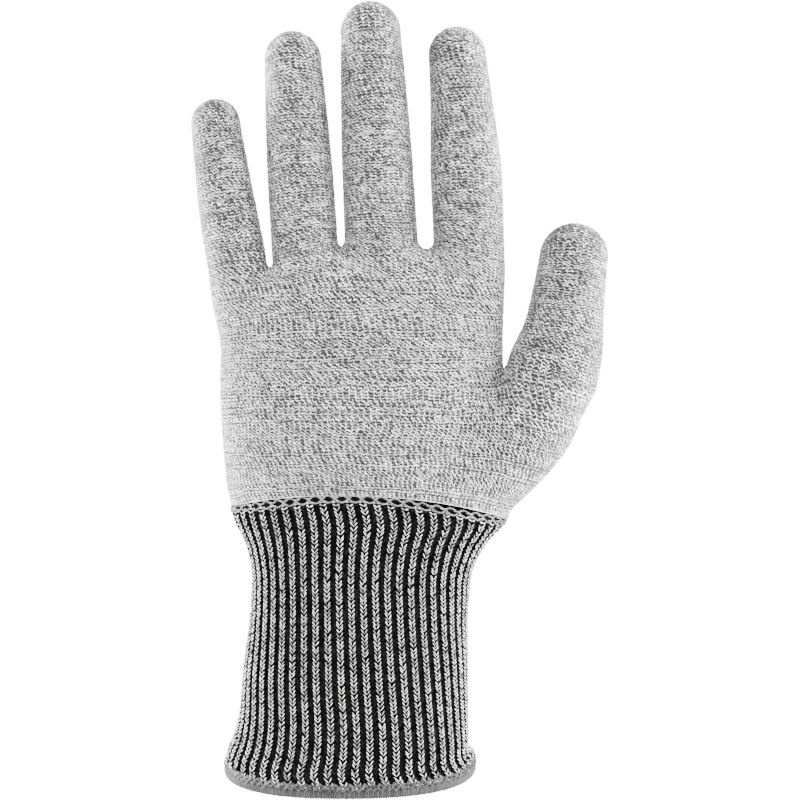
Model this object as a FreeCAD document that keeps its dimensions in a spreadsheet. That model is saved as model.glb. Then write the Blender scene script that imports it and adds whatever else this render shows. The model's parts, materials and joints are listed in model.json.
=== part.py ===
"""Seamless-knit cut resistant glove, modelled as if worn: five knit stalls, a palm, a ribbed cuff and a hem.

Frame, in millimetres: +Z runs from the cuff's mouth to the fingertips, -Y is the palm side, +X is the thumb
side. The origin is the middle of the cuff's mouth, on the plane that the hem rests on.

The knit is one flexible skin. Each run of it between two bends is a closed solid of the fabric's thickness, and
each bend is a hinge. A run is relieved on the side that closes, so that it clears its neighbour when it bends.
"""

import FreeCAD, Part
import math
import os

import Sketcher

V = FreeCAD.Vector

# Driving dimensions: millimetres, and degrees where the name says so.
DIMENSIONS = {
    # the fabric
    "wall": 1.4,  # knit fabric, both faces of the stitch
    "run_gap": 0.1,  # between two runs that belong to one body
    "bend_gap": 0.5,  # from a hinge's plane to each run beside it
    # the hem and the cuff
    "hem_half_width": 41.6,
    "hem_half_depth": 33.4,
    "hem_height": 4.6,
    "hem_thickness": 3.0,
    "hem_floor": 1.6,  # overlock thread under the cuff's raw edge
    "mouth_height": 11.5,  # where the cuff stops flaring
    "mouth_half_width": 38.9,
    "mouth_half_depth": 31.4,
    "mouth_x": 0.8,
    "waist_height": 53.0,
    "waist_half_width": 36.2,
    "waist_half_depth": 28.6,
    "waist_x": 3.6,
    "cuff_height": 86.6,
    "cuff_half_width": 47.2,
    "cuff_half_depth": 24.6,
    "cuff_x": 8.0,
    "wrist_height": 67.0,
    "wrist_half_width": 37.0,
    "wrist_half_depth": 27.6,
    "wrist_x": 4.6,
    "wrist_limit_deg": 45.0,
    "elastic_radius": 0.4,
    "elastic_pitch": 5.5,
    "elastic_first": 8.0,
    # the band that links the cuff to the palm
    "link_height": 2.8,
    # the palm: five stalls wide below the thumb's crotch, four above it
    "palm_mid_height": 109.0,
    "palm_mid_half_width": 57.9,
    "palm_mid_half_depth": 20.8,
    "palm_mid_x": 15.3,
    "crotch_height": 130.0,  # the thumb's crotch
    "crotch_half_width": 63.4,
    "crotch_half_depth": 17.6,
    "crotch_x": 20.0,
    "hand_half_width": 47.5,
    "hand_half_depth": 16.4,
    "hand_x": 3.7,
    "knuckle_height": 153.0,
    "knuckle_half_width": 48.3,
    "knuckle_half_depth": 15.2,
    "knuckle_x": 2.3,
    "knuckle_pivot_y": -3.0,
    "knuckle_limit_deg": 75.0,
    "knuckle_back_deg": 20.0,
    "root_height": 169.0,  # where the four finger stalls begin
    "root_half_width": 49.7,
    "root_half_depth": 13.8,
    "root_x": 2.2,
    # bends of the stalls
    "pivot_y": -2.5,  # a hinge lies this far towards the palm side of its stall's axis
    "middle_bend_deg": 90.0,
    "tip_bend_deg": 55.0,
    "thumb_root_bend_deg": 35.0,
    "thumb_tip_bend_deg": 60.0,
    # the stalls: where the axis starts, how it leans and twists, its length, the bends from the tip, the radii
    "little_x": -37.5,
    "little_lean_deg": -8.3,
    "little_length": 55.0,
    "little_middle_bend": 39.0,
    "little_tip_bend": 20.0,
    "little_root_radius": 10.3,
    "little_middle_radius": 9.6,
    "little_neck_radius": 8.7,
    "little_tip_radius": 8.2,
    "ring_x": -14.5,
    "ring_lean_deg": -3.5,
    "ring_length": 77.1,
    "ring_middle_bend": 47.0,
    "ring_tip_bend": 24.0,
    "ring_root_radius": 11.4,
    "ring_middle_radius": 10.9,
    "ring_neck_radius": 10.1,
    "ring_tip_radius": 9.3,
    "middle_x": 11.1,
    "middle_lean_deg": -2.8,
    "middle_length": 86.9,
    "middle_middle_bend": 50.0,
    "middle_tip_bend": 25.0,
    "middle_root_radius": 12.6,
    "middle_middle_radius": 11.7,
    "middle_neck_radius": 10.7,
    "middle_tip_radius": 9.4,
    "index_x": 40.2,
    "index_lean_deg": -3.5,
    "index_length": 78.5,
    "index_middle_bend": 47.0,
    "index_tip_bend": 24.0,
    "index_root_radius": 12.0,
    "index_middle_radius": 11.9,
    "index_neck_radius": 10.2,
    "index_tip_radius": 8.8,
    "thumb_x": 69.2,
    "thumb_y": -1.5,
    "thumb_lean_deg": 7.9,
    "thumb_twist_deg": -10.0,
    "thumb_length": 52.0,
    "thumb_middle_bend": 43.0,
    "thumb_tip_bend": 26.0,
    "thumb_root_radius": 14.2,
    "thumb_middle_radius": 13.9,
    "thumb_neck_radius": 12.1,
    "thumb_tip_radius": 10.9,
    "root_rise": 2.4,  # a leaning stall starts this far up its axis, to clear the flat edge it stands on
    "knot_radius": 1.3,  # the yarn's end is knotted inside each tip
}
FINGERS = ("little", "ring", "middle", "index")
ELASTIC_POINTS = 40  # each elastic ring is a smooth closed curve through this many points of the cuff's wall

doc = FreeCAD.newDocument("knit_glove")
dims = doc.addObject("Spreadsheet::Sheet", "dims")
for row, (alias, number) in enumerate(DIMENSIONS.items(), start=1):
    dims.set(f"A{row}", alias)
    dims.set(f"B{row}", str(number))
    dims.setAlias(f"B{row}", alias)
scratch = doc.addObject("Spreadsheet::Sheet", "scratch")  # works out expressions, and is removed at the end
doc.recompute()


def size(expression):
    """The value of an expression over the sheet's cells, worked out by the document itself."""
    scratch.set("A1", "=" + expression)
    scratch.recompute()
    answer = scratch.get("A1")
    return float(getattr(answer, "Value", answer))


def new_body(name):
    body = doc.addObject("PartDesign::Body", name)
    body.Label = name
    return body


def plane_of(body, role):
    return next(f for f in body.Origin.OriginFeatures if f.Role == role)


def new_sketch(body, name, role, height=None):
    """A sketch on one of the body's own origin planes, lifted to a height where one is given."""
    sketch = body.newObject("Sketcher::SketchObject", name)
    sketch.AttachmentSupport = (plane_of(body, role), [""])
    sketch.MapMode = "FlatFace"
    if height is not None:
        sketch.setExpression("AttachmentOffset.Base.z", height)
    return sketch


def bind(sketch, kind, geometry, expression):
    """Adds one dimension to a sketch and ties it to the sheet."""
    index = sketch.addConstraint(Sketcher.Constraint(kind, *geometry, size(expression)))
    sketch.setExpression(f"Constraints[{index}]", expression)


def place_point(sketch, curve, end, x, z):
    """Fixes one end of a curve at expressions for its two coordinates."""
    bind(sketch, "DistanceX", (-1, 1, curve, end), x)
    bind(sketch, "DistanceY", (-1, 1, curve, end), z)


def closed_outline(sketch, points):
    """A closed polygon whose corners are pairs of expressions."""
    corners = [V(size(x), size(z), 0) for x, z in points]
    count = len(corners)
    for n in range(count):
        sketch.addGeometry(Part.LineSegment(corners[n], corners[(n + 1) % count]), False)
    for n in range(count):
        sketch.addConstraint(Sketcher.Constraint("Coincident", n, 2, (n + 1) % count, 1))
    for n, (x, z) in enumerate(points):
        place_point(sketch, n, 1, x, z)


def oval(sketch, half_width, half_depth, centre_x):
    """A round-ended oval: two straight sides and two half circles. Each size is an expression."""
    half_width, half_depth, centre_x = f"({half_width})", f"({half_depth})", f"({centre_x})"
    radius, middle = size(half_depth), size(centre_x)
    reach = size(f"{half_width} - {half_depth}")
    left, right, half = V(middle - reach, 0, 0), V(middle + reach, 0, 0), math.pi / 2
    first = sketch.addGeometry(Part.ArcOfCircle(Part.Circle(right, V(0, 0, 1), radius), -half, half), False)
    second = sketch.addGeometry(
        Part.ArcOfCircle(Part.Circle(left, V(0, 0, 1), radius), half, 3 * half), False
    )
    back = sketch.addGeometry(Part.LineSegment(right + V(0, radius, 0), left + V(0, radius, 0)), False)
    front = sketch.addGeometry(Part.LineSegment(left - V(0, radius, 0), right - V(0, radius, 0)), False)
    for one, one_end, other, other_end in (
        (first, 2, back, 1), (back, 2, second, 1), (second, 2, front, 1), (front, 2, first, 1)
    ):
        sketch.addConstraint(Sketcher.Constraint("Tangent", one, one_end, other, other_end))
    sketch.addConstraint(Sketcher.Constraint("Horizontal", back))
    sketch.addConstraint(Sketcher.Constraint("PointOnObject", first, 3, -1))
    bind(sketch, "Radius", (first,), half_depth)
    bind(sketch, "DistanceX", (-1, 1, first, 3), f"{centre_x} + {half_width} - {half_depth}")
    bind(sketch, "DistanceX", (-1, 1, second, 3), f"{centre_x} - {half_width} + {half_depth}")


def loft(body, kind, name, sections, inset):
    """An additive or subtractive loft through ovals, each given as (height, half width, half depth, x)."""
    profiles = []
    for n, (height, half_width, half_depth, centre_x) in enumerate(sections):
        sketch = new_sketch(body, f"{name}_section_{n}", "XY_Plane", height)
        oval(sketch, f"{half_width} - {inset}", f"{half_depth} - {inset}", centre_x)
        profiles.append(sketch)
    doc.recompute()
    feature = body.newObject(f"PartDesign::{kind}Loft", name)
    feature.Profile = profiles[0]
    feature.Sections = profiles[1:]
    doc.recompute()
    return feature


def knit_run(name, sections, roof=False):
    """A run of fabric between ovals. With a roof it keeps the fabric's thickness across its top."""
    body = new_body(name)
    loft(body, "Additive", f"{name}_skin", sections, "0")
    hollow = list(sections)
    if roof:
        height, half_width, half_depth, centre_x = hollow[-1]
        hollow[-1] = (f"({height}) - dims.wall", half_width, half_depth, centre_x)
    loft(body, "Subtractive", f"{name}_hollow", hollow, "dims.wall")
    return body


def cut_through(body, name, sketch):
    """A pocket through the whole body, on both sides of the sketch's plane. It has to remove something."""
    doc.recompute()
    before = body.Shape.Volume
    pocket = body.newObject("PartDesign::Pocket", name)
    pocket.Profile = sketch
    pocket.Type = "ThroughAll"
    pocket.Midplane = True
    doc.recompute()
    if body.Shape.Volume > before - 1:
        raise ValueError(f"{body.Label}: {name} removed nothing")


def relieve(body, name, top, pivot_y, height, angle, reach, side):
    """Cuts the sloping face that lets a run bend. side is -1 for the palm side and 1 for the back."""
    slope = f"tan({angle} / 2) * ({reach} + {side} * ({pivot_y}) * -1)"
    away = "-1" if top else "1"
    edge = f"{side} * ({reach})"
    sketch = new_sketch(body, f"{name}_outline", "YZ_Plane")
    closed_outline(
        sketch,
        [
            (pivot_y, height),
            (edge, f"({height}) + {away} * {slope}"),
            (edge, f"({height}) - {away} * 3"),
        ],
    )
    cut_through(body, name, sketch)


def seat_stall(body, finger):
    """Puts a stall's solid on the stall's axis."""
    if finger == "thumb":
        lean = FreeCAD.Rotation(V(0, 1, 0), size("dims.thumb_lean_deg"))
        twist = FreeCAD.Rotation(V(0, 0, 1), size("dims.thumb_twist_deg"))
        seat = V(size("dims.thumb_x"), size("dims.thumb_y"), size("dims.crotch_height"))
        body.Placement = FreeCAD.Placement(seat, lean.multiply(twist))
        return
    body.Placement = FreeCAD.Placement(V(0, 0, 0), FreeCAD.Rotation(V(0, 1, 0), 1.0))
    body.setExpression("Placement.Base.x", f"dims.{finger}_x")
    body.setExpression("Placement.Base.z", "dims.root_height")
    body.setExpression("Placement.Rotation.Angle", f"dims.{finger}_lean_deg")


def stall_tube(name, finger, low, high, low_radius, high_radius):
    """A round, tapering run of a stall, open at both ends."""
    body = new_body(name)
    sketch = new_sketch(body, f"{name}_wall", "XZ_Plane")
    closed_outline(
        sketch,
        [
            (f"{low_radius} - dims.wall", low),
            (low_radius, low),
            (high_radius, high),
            (f"{high_radius} - dims.wall", high),
        ],
    )
    turn = body.newObject("PartDesign::Revolution", f"{name}_skin")
    turn.Profile = sketch
    turn.ReferenceAxis = (sketch, ["V_Axis"])
    turn.Angle = 360.0
    doc.recompute()
    seat_stall(body, finger)
    return body


def stall_tip(name, finger, low, low_radius, tip_radius, length):
    """The closed end of a stall: a short taper under a half-round dome."""
    body = new_body(name)
    sketch = new_sketch(body, f"{name}_wall", "XZ_Plane")
    dome = V(0, size(f"{length} - {tip_radius}"), 0)
    outer, wall = size(tip_radius), size("dims.wall")
    foot = V(size(low_radius), size(low), 0)
    sketch.addGeometry(Part.LineSegment(foot - V(wall, 0, 0), foot), False)
    sketch.addGeometry(Part.LineSegment(foot, dome + V(outer, 0, 0)), False)
    quarter = math.pi / 2
    sketch.addGeometry(Part.ArcOfCircle(Part.Circle(dome, V(0, 0, 1), outer), 0, quarter), False)
    sketch.addGeometry(Part.LineSegment(dome + V(0, outer, 0), dome + V(0, outer - wall, 0)), False)
    sketch.addGeometry(Part.ArcOfCircle(Part.Circle(dome, V(0, 0, 1), outer - wall), 0, quarter), False)
    sketch.addGeometry(Part.LineSegment(dome + V(outer - wall, 0, 0), foot - V(wall, 0, 0)), False)
    for one, one_end, other, other_end in (
        (0, 2, 1, 1), (1, 2, 2, 1), (2, 2, 3, 1), (3, 2, 4, 2), (4, 1, 5, 1), (5, 2, 0, 1), (2, 3, 4, 3)
    ):
        sketch.addConstraint(Sketcher.Constraint("Coincident", one, one_end, other, other_end))
    sketch.addConstraint(Sketcher.Constraint("PointOnObject", 2, 3, -2))
    sketch.addConstraint(Sketcher.Constraint("Vertical", 3))
    sketch.addConstraint(Sketcher.Constraint("PointOnObject", 3, 1, -2))
    sketch.addConstraint(Sketcher.Constraint("Horizontal", 2, 1, 2, 3))
    sketch.addConstraint(Sketcher.Constraint("Horizontal", 4, 1, 4, 3))
    bind(sketch, "Radius", (2,), tip_radius)
    bind(sketch, "Radius", (4,), f"{tip_radius} - dims.wall")
    bind(sketch, "DistanceY", (-1, 1, 2, 3), f"{length} - {tip_radius}")
    place_point(sketch, 0, 1, f"{low_radius} - dims.wall", low)
    place_point(sketch, 0, 2, low_radius, low)
    turn = body.newObject("PartDesign::Revolution", f"{name}_skin")
    turn.Profile = sketch
    turn.ReferenceAxis = (sketch, ["V_Axis"])
    turn.Angle = 360.0
    doc.recompute()
    seat_stall(body, finger)
    return body


def tip_knot(finger):
    """The knotted yarn end inside a tip, just under its dome."""
    name = f"{finger}_tip_knot"
    body = new_body(name)
    knot = body.newObject("PartDesign::AdditiveSphere", f"{name}_ball")
    knot.setExpression("Radius", "dims.knot_radius")
    knot.setExpression(
        "AttachmentOffset.Base.z",
        f"dims.{finger}_length - dims.wall - dims.knot_radius - dims.run_gap",
    )
    knot.AttachmentSupport = (plane_of(body, "XY_Plane"), [""])
    knot.MapMode = "FlatFace"
    doc.recompute()
    seat_stall(body, finger)
    return body


# --- the hem: overlock thread wrapped round the cuff's raw edge --------------------------------------------
def make_hem():
    body = new_body("hem_overlock")
    ring = new_sketch(body, "hem_ring", "XY_Plane")
    oval(ring, "dims.hem_half_width", "dims.hem_half_depth", "0")
    oval(ring, "dims.hem_half_width - dims.hem_thickness", "dims.hem_half_depth - dims.hem_thickness", "0")
    doc.recompute()
    pad = body.newObject("PartDesign::Pad", "hem_band")
    pad.Profile = ring
    pad.setExpression("Length", "dims.hem_height")
    doc.recompute()
    before = body.Shape.Volume
    slot = new_sketch(body, "hem_slot", "XY_Plane", "dims.hem_floor")
    middle = "dims.hem_thickness / 2"
    for inset in (f"({middle} - dims.wall / 2 - dims.run_gap)", f"({middle} + dims.wall / 2 + dims.run_gap)"):
        oval(slot, f"dims.hem_half_width - {inset}", f"dims.hem_half_depth - {inset}", "0")
    doc.recompute()
    groove = body.newObject("PartDesign::Pocket", "hem_groove")
    groove.Profile = slot
    groove.Reversed = True
    groove.setExpression("Length", "dims.hem_height")
    doc.recompute()
    if body.Shape.Volume > before - 1:
        raise ValueError("the hem's groove removed nothing")


# --- the ribbed cuff, with its wrist bend -----------------------------------------------------------------
def cuff_section(station):
    return (
        f"dims.{station}_height",
        f"dims.{station}_half_width",
        f"dims.{station}_half_depth",
        f"dims.{station}_x",
    )


def make_cuff():
    inset = "(dims.hem_thickness - dims.wall) / 2"
    edge_width, edge_depth = f"dims.hem_half_width - {inset}", f"dims.hem_half_depth - {inset}"
    foot = ("dims.hem_floor + dims.run_gap", edge_width, edge_depth, "0")
    above_hem = ("dims.hem_height + 2 * dims.run_gap", edge_width, edge_depth, "0")
    wrist = ("dims.wrist_half_width", "dims.wrist_half_depth", "dims.wrist_x")
    lower = knit_run(
        "cuff_sleeve",
        [
            foot,
            above_hem,
            cuff_section("mouth"),
            cuff_section("waist"),
            ("dims.wrist_height - dims.bend_gap", *wrist),
        ],
    )
    upper = knit_run(
        "cuff_top",
        [
            ("dims.wrist_height + dims.bend_gap", *wrist),
            (
                "(dims.wrist_height + dims.cuff_height) / 2",
                "dims.wrist_half_width + 0.37 * (dims.cuff_half_width - dims.wrist_half_width)",
                "dims.wrist_half_depth + 0.42 * (dims.cuff_half_depth - dims.wrist_half_depth)",
                "dims.wrist_x + 0.4 * (dims.cuff_x - dims.wrist_x)",
            ),
            ("dims.cuff_height - dims.run_gap", *cuff_section("cuff")[1:]),
        ],
    )
    for body, top, sign in ((lower, True, "-"), (upper, False, "+")):
        for side, word in ((-1, "front"), (1, "back")):
            relieve(
                body,
                f"{body.Label}_{word}_relief",
                top,
                "0",
                f"dims.wrist_height {sign} dims.bend_gap",
                "dims.wrist_limit_deg",
                "40",
                side,
            )


def make_elastic():
    """Elastic threads laid just inside the cuff, one ring at each pitch, clear of the wrist's relief."""
    sleeve = doc.getObject("cuff_sleeve").Shape
    radius, pitch = size("dims.elastic_radius"), size("dims.elastic_pitch")
    relief = math.tan(math.radians(size("dims.wrist_limit_deg / 2"))) * size("dims.wrist_half_depth")
    stop = size("dims.wrist_height - dims.bend_gap") - relief - 2 * radius
    rings = []
    height = size("dims.elastic_first")
    while height < stop:
        inner = min(sleeve.slice(V(0, 0, 1), height), key=lambda wire: wire.Length)
        along = inner.makeOffset2D(-radius - size("2 * dims.run_gap")).discretize(ELASTIC_POINTS + 1)
        curve = Part.BSplineCurve()
        curve.interpolate(Points=along[:-1], PeriodicFlag=True)
        where, way = curve.value(curve.FirstParameter), curve.tangent(curve.FirstParameter)[0]
        thread = Part.Wire([Part.makeCircle(radius, where, way)])
        path = Part.Wire([curve.toShape()])
        rings.append(Part.Solid(path.makePipeShell([thread], True, False)))
        height += pitch
    elastic = doc.addObject("Part::Feature", "cuff_elastic")
    elastic.Label = "cuff_elastic"
    elastic.Shape = Part.makeCompound(rings)


# --- the palm ---------------------------------------------------------------------------------------------
def make_link():
    knit_run(
        "linking_band",
        [
            ("dims.cuff_height", *cuff_section("cuff")[1:]),
            (
                "dims.cuff_height + dims.link_height - dims.run_gap",
                "dims.cuff_half_width + 1.5",
                "dims.cuff_half_depth - 0.3",
                "dims.cuff_x + 0.9",
            ),
        ],
    )


def hole_in_roof(body, name, height, draw):
    """A hole through a run's roof. draw adds its outline to the sketch."""
    doc.recompute()
    before = body.Shape.Volume
    sketch = new_sketch(body, f"{name}_outline", "XY_Plane", height)
    draw(sketch)
    doc.recompute()
    pocket = body.newObject("PartDesign::Pocket", name)
    pocket.Profile = sketch
    pocket.setExpression("Length", "2 * dims.wall")
    doc.recompute()
    if body.Shape.Volume > before - 1:
        raise ValueError(f"{body.Label}: {name} removed nothing")


def circle(sketch, x, y, radius):
    """A circle at expressions for its centre and its radius."""
    curve = sketch.addGeometry(Part.Circle(V(size(x), size(y), 0), V(0, 0, 1), size(radius)), False)
    place_point(sketch, curve, 3, x, y)
    bind(sketch, "Radius", (curve,), radius)


def make_palm():
    palm = knit_run(
        "lower_palm",
        [
            (
                "dims.cuff_height + dims.link_height",
                "dims.cuff_half_width + 1.5",
                "dims.cuff_half_depth - 0.3",
                "dims.cuff_x + 0.9",
            ),
            cuff_section("palm_mid"),
            cuff_section("crotch"),
        ],
        roof=True,
    )
    inside = "dims.wall"

    def hand_outline(sketch):
        oval(sketch, f"dims.hand_half_width - {inside}", f"dims.hand_half_depth - {inside}", "dims.hand_x")

    def thumb_outline(sketch):
        circle(sketch, "dims.thumb_x", "dims.thumb_y", "dims.thumb_root_radius - dims.wall - 0.6")

    hole_in_roof(palm, "lower_palm_hand_way", "dims.crotch_height", hand_outline)
    hole_in_roof(palm, "lower_palm_thumb_way", "dims.crotch_height", thumb_outline)
    upper = knit_run(
        "upper_palm",
        [
            (
                "dims.crotch_height + dims.run_gap",
                "dims.hand_half_width",
                "dims.hand_half_depth",
                "dims.hand_x",
            ),
            ("dims.knuckle_height - dims.bend_gap", *cuff_section("knuckle")[1:]),
        ],
    )
    band = knit_run(
        "knuckle_band",
        [
            ("dims.knuckle_height + dims.bend_gap", *cuff_section("knuckle")[1:]),
            cuff_section("root"),
        ],
        roof=True,
    )

    def finger_outlines(sketch):
        for finger in FINGERS:
            circle(sketch, f"dims.{finger}_x", "0", f"dims.{finger}_root_radius - dims.wall - 0.6")

    hole_in_roof(band, "knuckle_band_finger_ways", "dims.root_height", finger_outlines)
    for body, top, sign in ((upper, True, "-"), (band, False, "+")):
        for side, word, angle in (
            (-1, "front", "dims.knuckle_limit_deg"),
            (1, "back", "dims.knuckle_back_deg"),
        ):
            relieve(
                body,
                f"{body.Label}_{word}_relief",
                top,
                "dims.knuckle_pivot_y",
                f"dims.knuckle_height {sign} dims.bend_gap",
                angle,
                "20",
                side,
            )


# --- the stalls -------------------------------------------------------------------------------------------
def make_stall(finger, middle_angle, tip_angle):
    """Three runs of a stall and the knot in its tip. The first run stays with what the stall is knitted to."""
    length = f"dims.{finger}_length"
    middle_bend = f"({length} - dims.{finger}_middle_bend)"
    tip_bend = f"({length} - dims.{finger}_tip_bend)"
    radius = {n: f"dims.{finger}_{n}_radius" for n in ("root", "middle", "neck", "tip")}
    low = stall_tube(
        f"{finger}_root",
        finger,
        "dims.root_rise",
        f"{middle_bend} - dims.bend_gap",
        radius["root"],
        radius["middle"],
    )
    middle = stall_tube(
        f"{finger}_middle",
        finger,
        f"{middle_bend} + dims.bend_gap",
        f"{tip_bend} - dims.bend_gap",
        radius["middle"],
        radius["neck"],
    )
    tip = stall_tip(
        f"{finger}_tip", finger, f"{tip_bend} + dims.bend_gap", radius["neck"], radius["tip"], length
    )
    for body, top, bend, angle in (
        (low, True, middle_bend, middle_angle),
        (middle, False, middle_bend, middle_angle),
        (middle, True, tip_bend, tip_angle),
        (tip, False, tip_bend, tip_angle),
    ):
        sign = "-" if top else "+"
        word = "upper" if top else "lower"
        relieve(
            body,
            f"{body.Label}_{word}_relief",
            top,
            "dims.pivot_y",
            f"{bend} {sign} dims.bend_gap",
            angle,
            "16",
            -1,
        )
    tip_knot(finger)


make_hem()
make_cuff()
make_elastic()
make_link()
make_palm()
for finger_name in FINGERS:
    make_stall(finger_name, "dims.middle_bend_deg", "dims.tip_bend_deg")
make_stall("thumb", "dims.thumb_root_bend_deg", "dims.thumb_tip_bend_deg")
doc.removeObject("scratch")
doc.recompute()


# --- checks and export ------------------------------------------------------------------------------------
for thing in doc.Objects:
    if {"Invalid", "Error"} & set(thing.State):
        raise ValueError(f"{thing.Label} didn't recompute: {thing.State}")

os.makedirs("parts", exist_ok=True)
loose = [doc.getObject("cuff_elastic")]
for node in [thing for thing in doc.Objects if thing.TypeId == "PartDesign::Body"] + loose:
    shape = node.Shape
    if shape.isNull() or not shape.isValid() or not shape.Solids:
        raise ValueError(f"{node.Label} is not a valid solid")
    shape.exportStep(f"parts/{node.Label}.step")
    box = shape.BoundBox
    print(f"{node.Label}: {len(shape.Solids)} solid(s), {shape.Volume:.0f} mm3, top {box.ZMax:.1f}")
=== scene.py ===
"""Seamless-knit cut resistant glove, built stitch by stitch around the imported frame.

The hand's surface is an implicit one: a flat palm, five domed stalls and the ball of the thumb, blended
smoothly. A quad net is laid over it the way a glove machine knits it, so that wales run up the palm and into
the stalls, and the net is relaxed on the surface. Each knit piece is then a fine mesh of raised V stitches
laid along that net. Lengths are in millimetres until a mesh is made.
"""

import math
import json

import bpy
import numpy as np
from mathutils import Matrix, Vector


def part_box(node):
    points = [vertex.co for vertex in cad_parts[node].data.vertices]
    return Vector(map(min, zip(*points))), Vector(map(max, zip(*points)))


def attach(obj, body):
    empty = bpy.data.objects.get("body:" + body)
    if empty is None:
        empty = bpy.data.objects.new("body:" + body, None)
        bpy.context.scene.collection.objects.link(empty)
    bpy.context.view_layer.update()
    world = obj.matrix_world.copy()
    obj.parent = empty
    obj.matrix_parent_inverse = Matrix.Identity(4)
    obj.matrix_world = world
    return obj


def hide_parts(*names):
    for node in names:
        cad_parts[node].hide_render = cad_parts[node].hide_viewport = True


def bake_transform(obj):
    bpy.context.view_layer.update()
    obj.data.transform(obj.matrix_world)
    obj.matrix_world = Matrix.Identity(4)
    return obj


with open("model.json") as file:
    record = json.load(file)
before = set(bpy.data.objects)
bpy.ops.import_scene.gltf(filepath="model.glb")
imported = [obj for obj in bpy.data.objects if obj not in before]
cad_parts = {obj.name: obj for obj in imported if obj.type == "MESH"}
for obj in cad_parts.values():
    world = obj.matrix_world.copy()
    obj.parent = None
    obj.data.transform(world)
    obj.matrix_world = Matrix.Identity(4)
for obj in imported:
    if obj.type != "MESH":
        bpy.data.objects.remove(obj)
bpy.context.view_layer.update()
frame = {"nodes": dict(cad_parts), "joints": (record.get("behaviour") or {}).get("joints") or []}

MM = 0.001
FINGERS = ("little", "ring", "middle", "index")
STALLS = FINGERS + ("thumb",)
JOINTS = {joint["name"]: joint for joint in frame["joints"]}


# --- the frame ---------------------------------------------------------------
PIVOT_INSET = 2.5  # the CAD puts a stall's hinges this far to the palm side of its axis


def box(node):
    low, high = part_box(node)
    return np.array(low) / MM, np.array(high) / MM


def joint_place(name):
    return np.array(JOINTS[name]["pos_m"]) / MM


BOWS = {"little": -0.5, "index": 0.8}  # mm, how far these stalls bow to the side between their ends
DOME_SHARE = 0.92  # the radius of a stall's domed end, as a share of its tip run's radius


class Stall:
    """A finger's or the thumb's axis and radii, from its hinges and its nodes' boxes."""

    def __init__(self, name):
        self.name = name
        self.lower_bend = "thumb_root_bend" if name == "thumb" else f"{name}_middle_bend"
        self.upper_bend = f"{name}_tip_bend"
        first, second = joint_place(self.lower_bend), joint_place(self.upper_bend)
        self.way = (second - first) / np.linalg.norm(second - first)
        side = np.array(JOINTS[self.lower_bend]["axis"])
        self.back = np.cross(self.way, side)
        on_axis = first + PIVOT_INSET * self.back
        root_plane = box("lower_palm" if name == "thumb" else "knuckle_band")[1][2]
        self.root = on_axis + self.way * (root_plane - on_axis[2]) / self.way[2]
        root_box, middle_box, tip_box = (box(f"{name}_{run}") for run in ("root", "middle", "tip"))
        radii = [run_box[1][1] - self.root[1] for run_box in (root_box, middle_box, tip_box)]
        dome = radii[2] * DOME_SHARE
        top = tip_box[1][2]
        self.bends = [self.along(first), self.along(second)]
        self.dome_start = (top - dome - self.root[2]) / self.way[2]
        self.length = self.dome_start + dome
        self.stations = [-60.0, -30.0, -12.0, 0.0, self.bends[0], self.bends[1], self.dome_start]
        shares = (0.6, 0.75, 0.88, 0.95) if name == "thumb" else (0.5, 0.68, 0.84, 0.97)
        self.radii = [radii[0] * share for share in shares] + [radii[1], radii[2], dome]
        self.sway = 1.7 if name == "thumb" else 0.0  # the thumb's root stands in towards the palm
        self.bow = BOWS.get(name, 0.0)
        self.table_t = np.arange(-60.0, self.dome_start + 12, 0.5)
        rough = np.interp(self.table_t, self.stations, self.radii)
        window = np.hanning(37)
        padded = np.pad(rough, 18, mode="edge")
        self.table_r = np.convolve(padded, window / window.sum(), mode="valid")

    def along(self, point):
        return float((point - self.root) @ self.way)

    def at(self, distance):
        return self.root + self.way * distance

    def field(self, points):
        rel = points - self.root
        t = rel @ self.way
        if self.bow:
            bend = np.sin(math.pi * np.clip(t / self.length, 0, 1))
            rel = rel - np.outer(self.bow * bend, (1, 0, 0))
            t = rel @ self.way
        if self.sway:
            ease = np.clip(1 - t / 15, 0, 1)
            rel = rel + np.outer(self.sway * ease * ease * (3 - 2 * ease), (1, 0, 0))
            t = rel @ self.way
        square = np.maximum((rel * rel).sum(1) - t * t, 0)
        over = np.maximum(t - self.dome_start, 0)
        radius = np.interp(np.minimum(t, self.dome_start), self.table_t, self.table_r)
        return np.sqrt(square + over * over) - radius


stalls = {name: Stall(name) for name in STALLS}
thumb = stalls["thumb"]


# --- the hand's surface ------------------------------------------------------
def smooth_min(a, b, reach):
    mix = np.maximum(reach - np.abs(a - b), 0) / reach
    return np.minimum(a, b) - mix * mix * reach * 0.25


def smooth_max(a, b, reach):
    return -smooth_min(-a, -b, reach)


def smooth_curve(x, places, values):
    """A curve through stations, eased with a cubic between each two so that it has no corners."""
    places, values = np.asarray(places, float), np.asarray(values, float)
    slopes = np.gradient(values, places)
    x = np.clip(x, places[0], places[-1])
    n = np.clip(np.searchsorted(places, x, side="right") - 1, 0, len(places) - 2)
    width = places[n + 1] - places[n]
    s = (x - places[n]) / width
    return (
        values[n] * (1 + 2 * s) * (1 - s) ** 2
        + slopes[n] * width * s * (1 - s) ** 2
        + values[n + 1] * s * s * (3 - 2 * s)
        + slopes[n + 1] * width * s * s * (s - 1)
    )


def half_and_middle(node, axis):
    low, high = box(node)
    return (high[axis] - low[axis]) / 2, (high[axis] + low[axis]) / 2


LINK_Z = box("linking_band")[0][2]
CROTCH_Z = box("lower_palm")[1][2]
ROOT_Z = box("knuckle_band")[1][2]
KNUCKLE_Z = joint_place("knuckle_bend")[2]
WRIST_Z = joint_place("wrist_bend")[2]

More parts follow.
